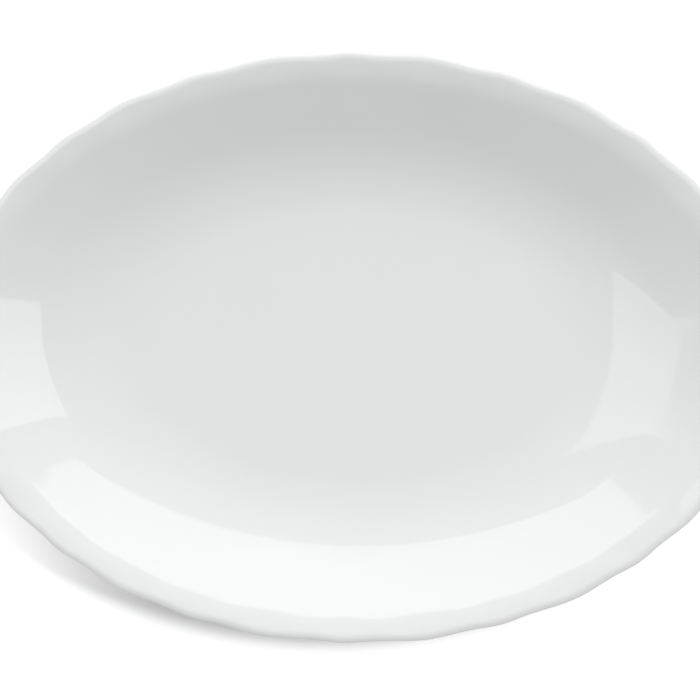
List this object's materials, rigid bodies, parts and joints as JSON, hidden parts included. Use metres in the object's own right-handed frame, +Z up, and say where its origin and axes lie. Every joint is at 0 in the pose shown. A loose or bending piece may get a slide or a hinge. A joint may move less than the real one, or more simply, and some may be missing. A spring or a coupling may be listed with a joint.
{
  "type": "oval plate",
  "caption": "White glazed porcelain oval plate with a flat floor, a sloped wall, a softly lobed turned-out rim and a bare foot ring to stand on.",
  "frame": {"origin": "on the table plane, under the middle of the plate", "axes": "+X along the plate's length, +Y across it, +Z up out of the dish"},
  "size_m": [0.28, 0.201, 0.028],
  "materials": {
    "bare_porcelain": "matte",
    "clear_glaze": "gloss"
  },
  "bodies": {
    "root": {"porcelain_body": "bare_porcelain", "glaze_coat": "clear_glaze", "foot_well_glaze": "clear_glaze"}
  },
  "joints": []
}
